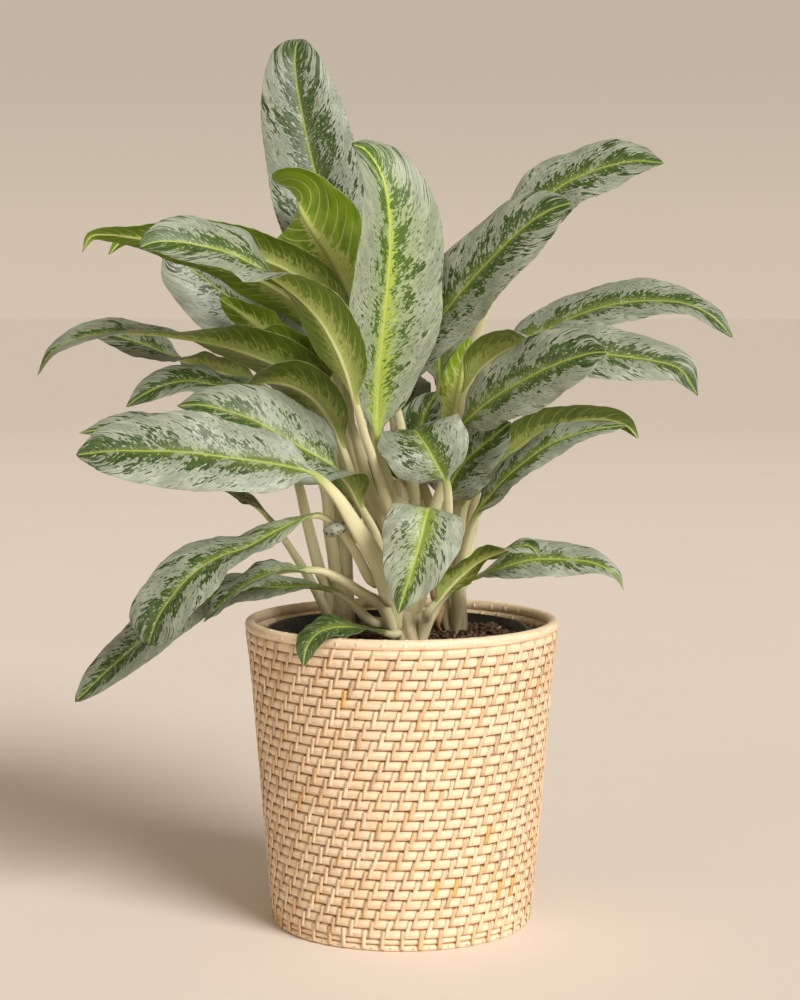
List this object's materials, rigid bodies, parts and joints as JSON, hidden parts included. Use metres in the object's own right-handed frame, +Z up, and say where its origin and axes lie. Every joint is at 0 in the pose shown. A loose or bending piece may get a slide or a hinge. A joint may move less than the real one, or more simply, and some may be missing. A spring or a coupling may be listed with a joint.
{
  "type": "potted foliage plant",
  "caption": "Bushy chinese evergreen with silver-green blotched leaves on pale stems, potted in soil in a black nursery pot that stands in a round woven rattan basket.",
  "frame": {"origin": "on the ground, at the basket's vertical axis", "axes": "+Z up along the basket's axis, -Y towards the front that the picture shows, +X to the picture's right"},
  "size_m": [0.5086, 0.3744, 0.6638],
  "materials": {
    "rattan_cane": "satin natural cane",
    "pot_plastic": "matte black",
    "potting_soil": "rough damp crumbs of peat and bark",
    "stem_cream": "satin pale stem",
    "leaf_green": "satin leaf, silver-sage with dark green blotches"
  },
  "bodies": {
    "root": {"basket": "rattan_cane", "nursery_pot": "pot_plastic", "soil": "potting_soil", "cane_front": "stem_cream", "cane_centre": "stem_cream", "cane_left": "stem_cream", "cane_right": "stem_cream", "cane_back": "stem_cream", "leaf_top_tall": "leaf_green", "leaf_centre_tall": "leaf_green", "leaf_young_lime": "leaf_green", "leaf_left_sweep": "leaf_green", "leaf_left_arch_high": "leaf_green", "leaf_left_arch_low": "leaf_green", "leaf_left_grey": "leaf_green", "leaf_left_lime": "leaf_green", "leaf_left_inner": "leaf_green", "leaf_left_long": "leaf_green", "leaf_left_under_long": "leaf_green", "leaf_left_small": "leaf_green", "leaf_left_mid": "leaf_green", "leaf_left_front": "leaf_green", "leaf_left_behind": "leaf_green", "leaf_left_thin": "leaf_green", "leaf_low_left_a": "leaf_green", "leaf_low_left_b": "leaf_green", "leaf_low_left_c": "leaf_green", "leaf_rim_leaf": "leaf_green", "leaf_front_hanging": "leaf_green", "leaf_mid_cup": "leaf_green", "leaf_mid_dark": "leaf_green", "leaf_right_diag": "leaf_green", "leaf_right_top": "leaf_green", "leaf_right_long_high": "leaf_green", "leaf_right_long_low": "leaf_green", "leaf_right_front": "leaf_green", "leaf_right_low_dark": "leaf_green", "leaf_right_narrow_a": "leaf_green", "leaf_right_narrow_b": "leaf_green", "leaf_low_right_a": "leaf_green", "leaf_low_right_b": "leaf_green", "leaf_right_lime": "leaf_green", "leaf_back_a": "leaf_green", "leaf_back_b": "leaf_green", "leaf_back_c": "leaf_green", "leaf_back_d": "leaf_green", "leaf_back_e": "leaf_green", "leaf_back_f": "leaf_green", "leaf_back_g": "leaf_green", "leaf_back_h": "leaf_green", "leaf_back_i": "leaf_green", "leaf_back_j": "leaf_green", "leaf_back_k": "leaf_green"}
  },
  "joints": []
}
